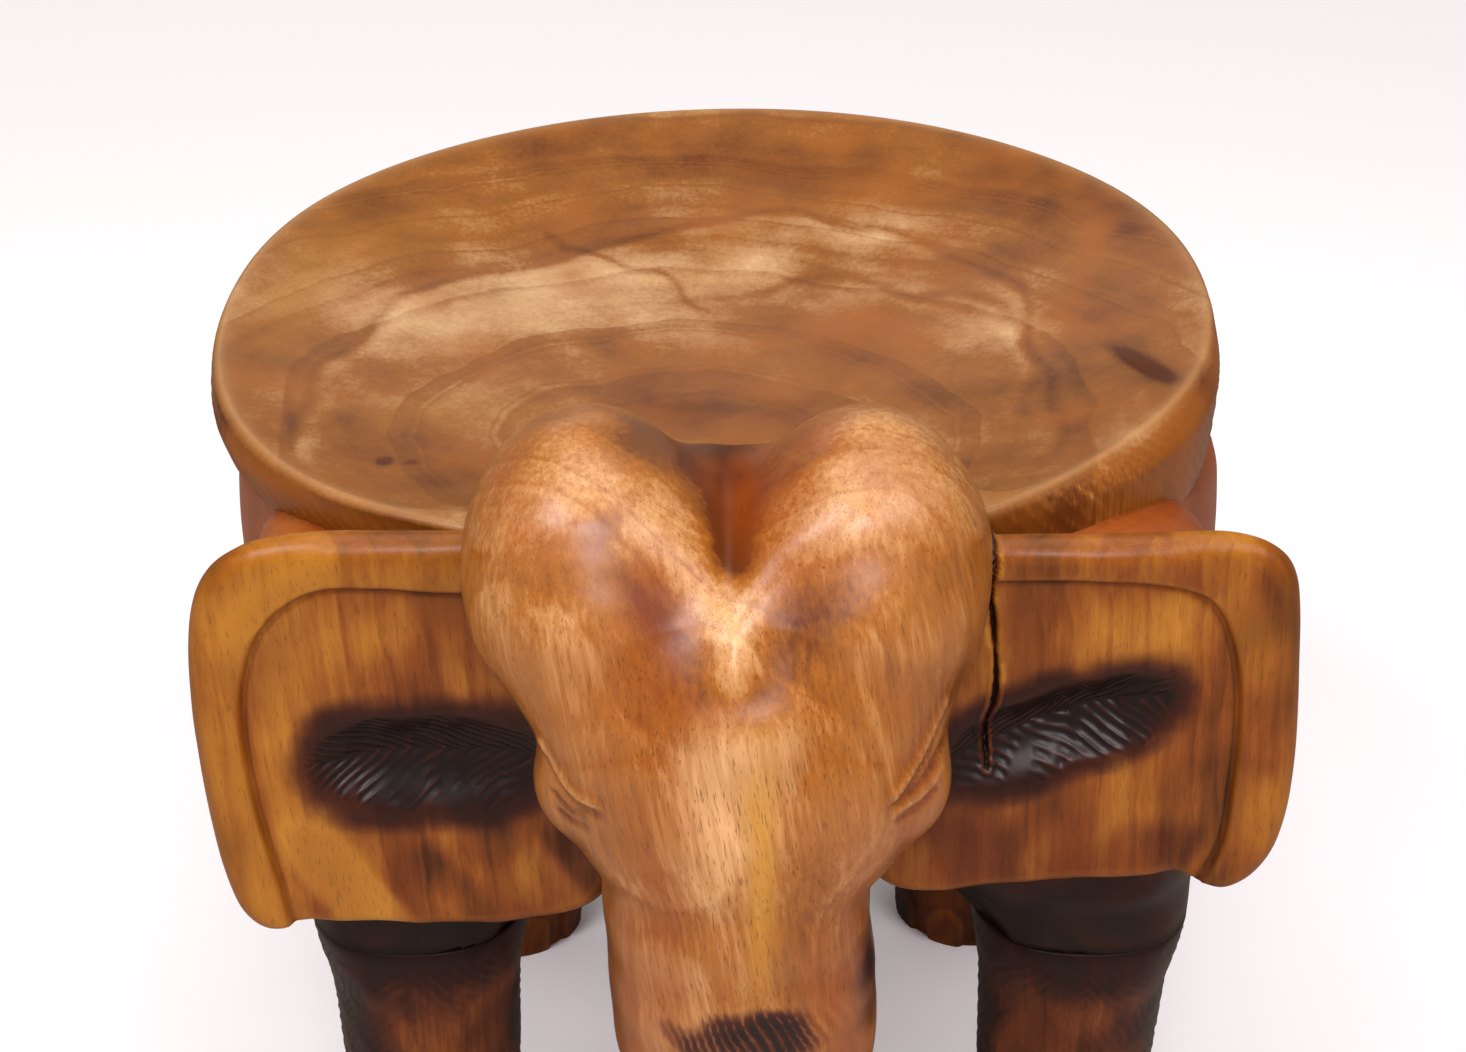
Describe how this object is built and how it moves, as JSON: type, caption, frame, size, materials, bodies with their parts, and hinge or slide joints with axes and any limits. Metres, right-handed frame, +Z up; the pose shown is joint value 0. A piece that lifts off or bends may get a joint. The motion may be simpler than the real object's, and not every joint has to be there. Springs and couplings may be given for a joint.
{
  "type": "carved elephant stool",
  "caption": "Low wooden stool carved as a standing elephant, with a round dished seat on its back.",
  "frame": {"origin": "middle of the floor under the whole stool", "axes": "+Z up, the elephant faces -Y, its left side is at +X"},
  "size_m": [0.3, 0.3944, 0.3525],
  "materials": {
    "seat_wood": "glossy varnish over end grain, mottled brown with pale patches",
    "head_wood": "glossy varnish, golden brown, grain runs down the trunk",
    "ear_wood": "glossy varnish, amber brown, scorched black in the hollows",
    "body_wood": "glossy varnish, reddish brown, tool marks left in",
    "leg_wood": "glossy varnish, amber brown, scorched dark at the sides",
    "dowel_wood": "plain turned wood, glued"
  },
  "bodies": {
    "root": {"seat": "seat_wood", "body": "body_wood", "head": "head_wood", "ear_left": "ear_wood", "ear_right": "ear_wood", "leg_front_left": "leg_wood", "leg_front_right": "leg_wood", "leg_rear_left": "leg_wood", "leg_rear_right": "leg_wood", "seat_dowels": "dowel_wood", "neck_dowels": "dowel_wood", "ear_dowels": "dowel_wood"}
  },
  "joints": []
}
